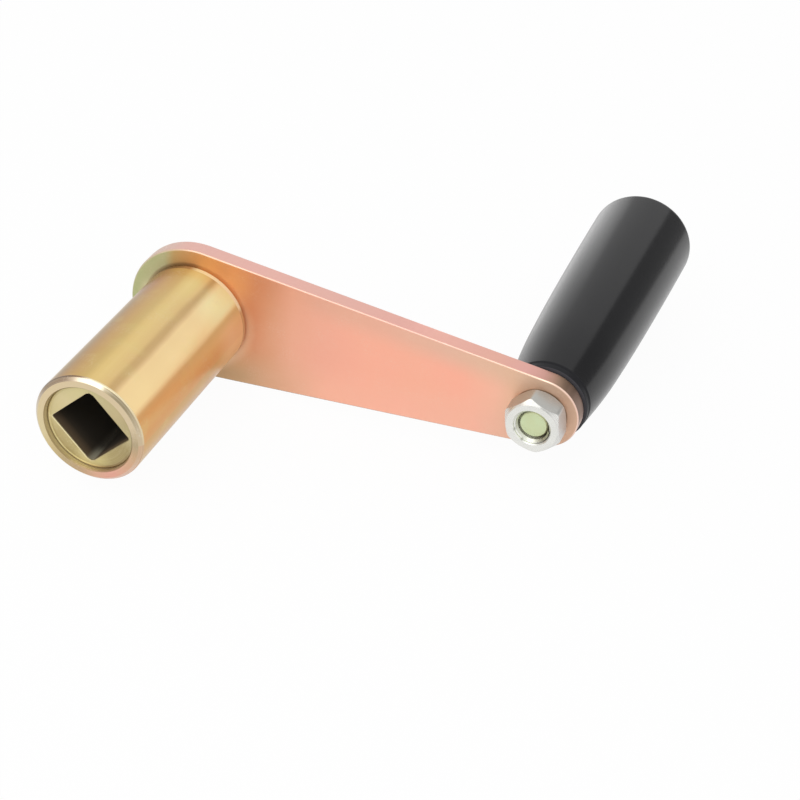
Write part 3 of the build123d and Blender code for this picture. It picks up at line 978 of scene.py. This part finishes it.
class MESH_OT_crank_weld(bpy.types.Operator):
    """Lay the rippled weld that holds the hub tube in the arm"""
    bl_idname = "mesh.crank_weld"
    bl_label = "Hub Weld"

    def execute(self, context):
        size = context.scene.crank_arm
        outside, crown = hidden_skin(WELD_HIGH.x), hidden_skin(WELD_HIGH.y)
        floor, plate = WELD_LOW.y + SKIN, ARM_HIGH.y
        # The bead's back: a radius and how far it lies under the crown, in mm
        bead = [(radius * MM, crown - drop * MM) for radius, drop in (
            (14.7, 0.65), (15.3, 0.12), (15.9, 0), (16.5, 0.10), (17.1, 0.42))]
        bm = bmesh.new()
        strip(bm, [(size.weld_inner, floor), (size.weld_inner + 0.15 * MM, floor + 1.1 * MM),
                   *bead, (outside, plate - 0.05 * MM), (outside - 0.6 * MM, plate - 0.3 * MM),
                   (15.3 * MM, floor)], closed=True)
        waves = 8  # steps in one ripple
        steps = waves * size.ripples
        spin_round(bm, 0.0, steps)
        for share, depth in ((0, 1.0), (1, 0.7), (7, 0.7), (2, 0.25), (6, 0.25)):
            dip = [vert for vert in bm.verts if vert.co.y > plate + 0.15 * MM and round(
                math.atan2(vert.co.z, vert.co.x) / FULL_TURN * steps) % waves == share]
            bmesh.ops.translate(bm, verts=dip, vec=(0, -depth * size.ripple, 0))
        finish_piece(bm, "rippled_weld", "crank", "hub_weld", [weld_metal()])
        return {"FINISHED"}


# ---- Fasteners ----
class MESH_OT_crank_bolt(bpy.types.Operator):
    """Turn the shoulder bolt, with its thread end and the hexagon socket in its head"""
    bl_idname = "mesh.crank_bolt"
    bl_label = "Shoulder Bolt"

    def execute(self, context):
        size = context.scene.crank_fasteners
        start, top = BOLT_LOW.y + SKIN, BOLT_HIGH.y - SKIN
        head, seat = hidden_skin(BOLT_HIGH.z), top - size.head_height
        root, tip_width, tip_depth = 0.83 * size.thread, 0.28 * MM, 0.3 * MM
        under, chamfer, drill_point = 0.2 * MM, 0.8 * MM, 1 * MM
        bm = bmesh.new()
        strip(bm, [(0, start), (0.55 * size.thread, start), (root - tip_width, start),
                   (root, start + tip_depth), (root, start + size.pitch),
                   (size.thread, start + 1.4 * size.pitch), (size.thread, ARM_HIGH.y),
                   (size.shank, ARM_HIGH.y), (size.shank, seat), (head - under, seat),
                   (head, seat + under), (head, top - chamfer), (head - chamfer, top)],
              axis_x=GRIP_AXIS)
        spin_round(bm, GRIP_AXIS, 96)
        rim = [edge for edge in bm.edges if edge.is_boundary]
        key = edges_of(circle(bm, size.key_width / math.sqrt(3), GRIP_AXIS, top, 6))
        bmesh.ops.triangle_fill(bm, use_beauty=True, edges=rim + key, normal=(0, 1, 0))
        _, bottom = draw_out(bm, key, (0, -size.key_depth, 0))
        tip, _ = draw_out(bm, bottom, (0, -drill_point, 0))
        bmesh.ops.pointmerge(bm, verts=tip,
                             merge_co=(GRIP_AXIS, top - size.key_depth - drill_point, 0))
        close_up(bm)
        PLATE, EDGE_LINE, THREAD = range(3)

        def pick(reach, depth, facing):
            if depth < start + tip_depth + SKIN:
                return EDGE_LINE if reach > root - tip_width else PLATE
            return THREAD if depth < ARM_LOW.y and reach < size.thread else PLATE

        paint(bm, pick, GRIP_AXIS)
        finish_piece(bm, "shoulder_bolt", "crank", "axle_bolt",
                     [bolt_plate(), turned_face("Bolt Edge Painted Highlight"), turned_face("Thread Shade")])
        return {"FINISHED"}


class MESH_OT_crank_nut(bpy.types.Operator):
    """Shape the chamfered hexagon nut and the thread that shows in its mouth"""
    bl_idname = "mesh.crank_nut"
    bl_label = "Hexagon Nut"

    def execute(self, context):
        size = context.scene.crank_fasteners
        front, back = NUT_LOW.y + SKIN, NUT_HIGH.y - SKIN
        half = (front + back) / 2
        bore, sink, pitch = size.nut_bore, size.countersink, size.pitch
        corner_round = 0.9 * MM
        bm = bmesh.new()
        strip(bm, [(size.nut_face, front), (bore + sink, front),
                   (bore + 0.6 * sink, front + 0.35 * sink),
                   (bore + 0.5 * sink, front + 0.75 * sink), (bore, front + 1.15 * sink),
                   (bore, back - sink), (bore + sink, back), (size.nut_face, back)],
              axis_x=GRIP_AXIS)
        spin_round(bm, GRIP_AXIS, 96)
        rims = [edge for edge in bm.edges if edge.is_boundary]
        flats = circle(bm, size.nut_width / math.sqrt(3) - SKIN, GRIP_AXIS, front, 6)
        bmesh.ops.subdivide_edges(bm, edges=edges_of(flats), cuts=11)
        draw_out(bm, [edge for edge in bm.edges if not edge.link_faces], (0, back - front, 0))
        inner = set(rims)
        outer = [edge for edge in bm.edges if edge.is_boundary and edge not in inner]
        for vert in {vert for edge in outer for vert in edge.verts}:
            slope = size.front_slope if vert.co.y < half else -size.back_slope
            beyond = off_axis(vert.co, GRIP_AXIS) - size.nut_face
            bmesh.ops.translate(bm, verts=[vert], vec=(0, slope * beyond, 0))
        for side in (-1, 1):
            bmesh.ops.bridge_loops(bm, edges=[edge for edge in rims + outer
                                              if side * (edge.verts[0].co.y - half) > 0])
        bmesh.ops.recalc_face_normals(bm, faces=bm.faces[:])
        bevel(bm, sharp_edges(bm, lambda edge: abs(
            edge.verts[0].co.y - edge.verts[1].co.y) > (back - front) / 2, math.radians(50)),
            corner_round, 4)
        bmesh.ops.rotate(bm, verts=bm.verts[:], cent=(GRIP_AXIS, 0, 0),
                         matrix=Matrix.Rotation(math.radians(30) - size.nut_turn, 3, "Y"))
        foot, crest, first = bore + 0.1 * MM, bore - 0.45 * MM, front + 0.25 * MM
        ridge = strip(bm, [(foot, first), (crest, first + 0.5 * pitch), (foot, first + pitch)],
                      axis_x=GRIP_AXIS)
        steps = 72
        bmesh.ops.spin(bm, geom=ridge + edges_of(ridge), cent=(GRIP_AXIS, 0, 0), axis=(0, 1, 0),
                       dvec=(0, pitch / steps, 0), angle=FULL_TURN, steps=steps,
                       use_merge=False)
        FACE, FLAT, CHAMFER, MOUTH, THREAD = range(5)

        def pick(reach, depth, facing):
            slant = abs(facing)
            if reach > size.nut_face and slant < 0.95:
                return FLAT if slant < 0.1 else CHAMFER
            if reach < bore:
                return THREAD
            return MOUTH if slant < 0.95 else FACE

        paint(bm, pick, GRIP_AXIS)
        finish_piece(bm, "chamfered_nut", "crank", "hex_nut",
                     [zinc_nut(), nut_flat(), *map(turned_face, (
                         "Zinc Chamfer Painted Shade", "Zinc Mouth Painted Glints And Shade", "Thread Shade"))])
        return {"FINISHED"}


# ---- Grip ----
class MESH_OT_crank_grip(bpy.types.Operator):
    """Turn the swelling grip, with its collar, round end and the pocket for the bolt's head"""
    bl_idname = "mesh.crank_grip"
    bl_label = "Revolving Grip"

    def execute(self, context):
        size = context.scene.crank_grip
        start, end = GRIP_LOW.y + SKIN, GRIP_HIGH.y - SKIN
        outside, neck = hidden_skin(GRIP_HIGH.z), start + size.collar_length
        round_start, floor = end - size.end_round, end - size.pocket_depth
        bore_lip, pocket_lip, step, dull_depth = 0.5 * MM, 0.3 * MM, 0.7 * MM, 2.1 * MM
        taper, faint = math.radians(0.5), math.radians(10)
        bm = bmesh.new()
        tip = point = bm.verts.new((GRIP_AXIS + outside, round_start, 0))
        heading = Vector((-math.sin(taper), -math.cos(taper)))
        for radius, share, steps in ((size.belly, 1 / 2, 18), (size.throat, 1 / 4, 10),
                                     (size.shoulder, 1 / 8, 8)):
            point, heading = bow(bm, point, (GRIP_AXIS + radius, start + share * (end - start)),
                                 heading, steps)
        point, heading = bow(bm, point, (GRIP_AXIS + size.neck, neck), heading, 8)
        foot = strip(bm, [(size.collar, neck - step), (size.collar, start),
                          (size.bore + bore_lip, start), (size.bore, start + bore_lip),
                          (size.bore, floor), (size.pocket, floor),
                          (size.pocket, end - pocket_lip), (size.pocket + pocket_lip, end)],
                     axis_x=GRIP_AXIS)
        bm.edges.new((point, foot[0]))
        last = arc(bm, tip, (GRIP_AXIS + outside - size.end_round, round_start, 0), (0, 0, 1),
                   math.pi / 2, 10)
        bm.edges.new((last, foot[-1]))
        spin_round(bm, GRIP_AXIS, 160)
        soft = sharp_edges(bm, ring_at(start, size.collar, GRIP_AXIS))
        soft += sharp_edges(bm, ring_at(neck, size.neck, GRIP_AXIS), faint)
        soft += sharp_edges(bm, ring_at(neck - step, size.collar, GRIP_AXIS), faint)
        bevel(bm, soft, 0.24 * MM, 4)
        margin = 0.05 * MM
        BODY, COLLAR, END, RIM = range(4)

        def pick(reach, depth, facing):
            if end - dull_depth < depth < end - margin and facing > 0.1:
                return RIM
            return END if depth < start + margin else COLLAR if depth < neck else BODY

        paint(bm, pick)
        # Gloss, lowest and highest roughness, sheen and tone of the duller faces
        dull = (("Satin Black Collar", 0.06, 0.34, 0.42, 0.0, 2.2),
                # The end face by the arm has a much paler tone: painted light in the gap by the
                # arm.
                ("Black End Painted Light", 0.12, 0.5, 0.6, 0.0, 7.0),
                ("Dull Black Rim", 0.05, 0.3, 0.36, 0.0, 1.4))
        finish_piece(bm, "moulded_grip", "grip", "grip",
                     [grip_plastic(), *(grip_plastic(*values) for values in dull)])
        return {"FINISHED"}


# ---- Stage ----
WHITE = (1, 1, 1, 1)
WORLD_LIGHT = 0.75  # level of the world where the eye doesn't see it
FLOOR_WHITE = 0.96  # share of plain white in the floor that the eye sees
FLOOR_HALF, FLOOR_GAP = 3.0, 0.05 * MM
LAMP_WATTS, LAMP_SIZE, LAMP_DISTANCE = 2.6, (0.8, 0.7), 0.9
LAMP_WAY, LAMP_TARGET = Vector((-0.25, -0.60, 0.77)), Vector((0.045, 0.07, 0.0))
# The camera: its turns in degrees, and its place along its own axes in mm
CAMERA_TURNS = (18.538083, 35.677434, 5.277033)
CAMERA_PLACE = (61.749805, -26.069181, 559.819357)


def white_to_the_eye(board):
    """1 for rays from the camera, in reflections and through glass, and 0 otherwise."""
    path = board.put("LightPath").outputs
    seen = board.plus(path["Is Camera Ray"], path["Is Glossy Ray"])
    return board.math("ADD", seen, path["Is Transmission Ray"], clamp=True)


def glow_over(board, share, under, level):
    """Let a white glow take a share of the rays from another shader."""
    glow = board.put("Emission", Color=WHITE, Strength=level).outputs["Emission"]
    cover = board.put("MixShader")
    for place, value in enumerate((share, under, glow)):
        board.feed(cover, place, value)
    board.wire(board.tree.nodes["Material Output"], Surface=cover.outputs[0])


def reflection_card(name, first, second, run, reach, level_at):
    """A card beside the grip that only reflections of a short reach see, with its places in mm.
    A rule gives its level from the depth and the height."""
    bm = bmesh.new()
    ends = strip(bm, [[c * MM for c in place] for place in (first, second)], axis_x=GRIP_AXIS)
    draw_out(bm, edges_of(ends), [c * MM for c in (0, *run)])
    paper = Finish(name.replace("_", " ").title())
    card = mesh_object(bm, name, [paper.material])
    card.visible_camera = card.visible_diffuse = card.visible_shadow = False
    x, y, z = paper.apart(paper.where)
    path = paper.put("LightPath").outputs
    glow_over(paper, paper.math("LESS_THAN", path["Ray Length"], reach * MM),
              paper.put("BsdfTransparent").outputs["BSDF"], level_at(paper, y, z))


def shade_level(board, y, z):
    """The shade card, which fades in from the white of the world."""
    return board.span_mm(y, 78, 92, 1.0, 0.33)


def bright_level(board, y, z):
    """The bright card, brighter far along the grip and duller low down by the arm."""
    far = board.times(board.span_mm(y, 170, 212),
                      board.span_mm(z, -22, 36, -0.15, 0.65, smooth=False))
    close = board.times(board.span_mm(y, 155, 125),
                        board.span_mm(z, 4, -24, 0.0, 0.6))
    extra = board.minus(board.plus(far, 0.62), close)
    low_down = board.span_mm(z, 68, 10, smooth=False)
    return board.plus(board.times(extra, low_down), 1.0)


class SCENE_OT_crank_stage(bpy.types.Operator):
    """Set the world, the floor, the lamp, the reflection cards and the camera"""
    bl_idname = "scene.crank_stage"
    bl_label = "Stage"

    def execute(self, context):
        scene, stage = context.scene, context.scene.crank_stage
        scene.view_settings.view_transform = "Standard"
        scene.world = world = bpy.data.worlds.new("Studio")
        world.use_nodes = True
        board = Board(world.node_tree)
        strength = board.span(white_to_the_eye(board), 0.0, 1.0, WORLD_LIGHT, 1.0,
                              smooth=False)
        board.wire(world.node_tree.nodes["Background"], Color=WHITE, Strength=strength)

        bm = bmesh.new()
        bmesh.ops.create_grid(bm, x_segments=4, y_segments=4, size=FLOOR_HALF)
        bmesh.ops.translate(bm, verts=bm.verts[:], vec=(0, 0, CAD_BOX[0][2] - FLOOR_GAP))
        surface = Finish("Pale Floor")
        mesh_object(bm, "floor", [surface.material])
        surface.wire(surface.shader, Base_Color=(*stage.floor_colour, 1), Roughness=1.0,
                        Specular_IOR_Level=0.0)
        glow_over(surface, surface.times(white_to_the_eye(surface), FLOOR_WHITE),
                  surface.shader.outputs["BSDF"], 1.0)

        data = bpy.data.lights.new("Front Overhead", "AREA")
        data.shape, (data.size, data.size_y) = "RECTANGLE", LAMP_SIZE
        data.energy = LAMP_WATTS * stage.lamp_level
        lamp = add_object("Front Overhead", data)
        lamp.location = LAMP_TARGET + LAMP_WAY.normalized() * LAMP_DISTANCE
        lamp.rotation_euler = LAMP_WAY.to_track_quat("Z", "Y").to_euler()

        reflection_card("shade_card", (33, 78, 9.8), (18.3, 78, 31.3), (137, -5), 90,
                        shade_level)
        reflection_card("bright_card", (-46, 95, -50), (-46, 95, 80), (165, 0), 106,
                        bright_level)

        data = bpy.data.cameras.new("Camera")
        data.lens, data.sensor_width = stage.lens, 36.0
        data.clip_start, data.clip_end = 0.01, 20.0
        turn, lift, roll = (math.radians(angle) for angle in CAMERA_TURNS)
        right = Vector((math.cos(turn), math.sin(turn), 0))
        back = Vector((math.sin(turn) * math.cos(lift), -math.cos(turn) * math.cos(lift),
                       math.sin(lift)))
        up = back.cross(right)
        across = math.cos(roll) * right + math.sin(roll) * up
        above = -math.sin(roll) * right + math.cos(roll) * up
        x, y, z = CAMERA_PLACE
        grid = Matrix((across, above, back)).transposed().to_4x4()
        grid.translation = (x * across + y * above + z * back) * MM + Vector((0, ARM_LOW.y, 0))
        scene.camera = add_object("Camera", data)
        scene.camera.matrix_world = grid
        return {"FINISHED"}


# ---- Panel and start ----
STEPS = (MESH_OT_crank_hub_tube, MESH_OT_crank_bush, MESH_OT_crank_arm, MESH_OT_crank_weld,
         MESH_OT_crank_bolt, MESH_OT_crank_nut, MESH_OT_crank_grip, SCENE_OT_crank_stage)
SETTINGS = (("crank_hub", CrankHubSizes), ("crank_arm", CrankArmSizes),
            ("crank_fasteners", CrankFastenerSizes), ("crank_grip", CrankGripSizes),
            ("crank_finish", CrankFinish), ("crank_stage", CrankStage))


class VIEW3D_PT_crank_handle(bpy.types.Panel):
    """Sizes, finishes and building steps of the crank handle"""
    bl_label = "Crank Handle"
    bl_space_type = "VIEW_3D"
    bl_region_type = "UI"
    bl_category = "Crank Handle"

    def draw(self, context):
        for name, group in SETTINGS:
            box = self.layout.box()
            settings = getattr(context.scene, name)
            for key in group.__annotations__:
                box.prop(settings, key)
        for step in STEPS:
            self.layout.operator(step.bl_idname)


def register():
    for name, group in SETTINGS:
        bpy.utils.register_class(group)
        setattr(bpy.types.Scene, name, PointerProperty(type=group))
    for made in (*STEPS, VIEW3D_PT_crank_handle):
        bpy.utils.register_class(made)


def unregister():
    for made in reversed((*STEPS, VIEW3D_PT_crank_handle)):
        bpy.utils.unregister_class(made)
    for name, group in reversed(SETTINGS):
        delattr(bpy.types.Scene, name)
        bpy.utils.unregister_class(group)


def main():
    register()
    for step in STEPS:
        family, name = step.bl_idname.split(".")
        getattr(getattr(bpy.ops, family), name)()


if __name__ == "__main__":
    main()
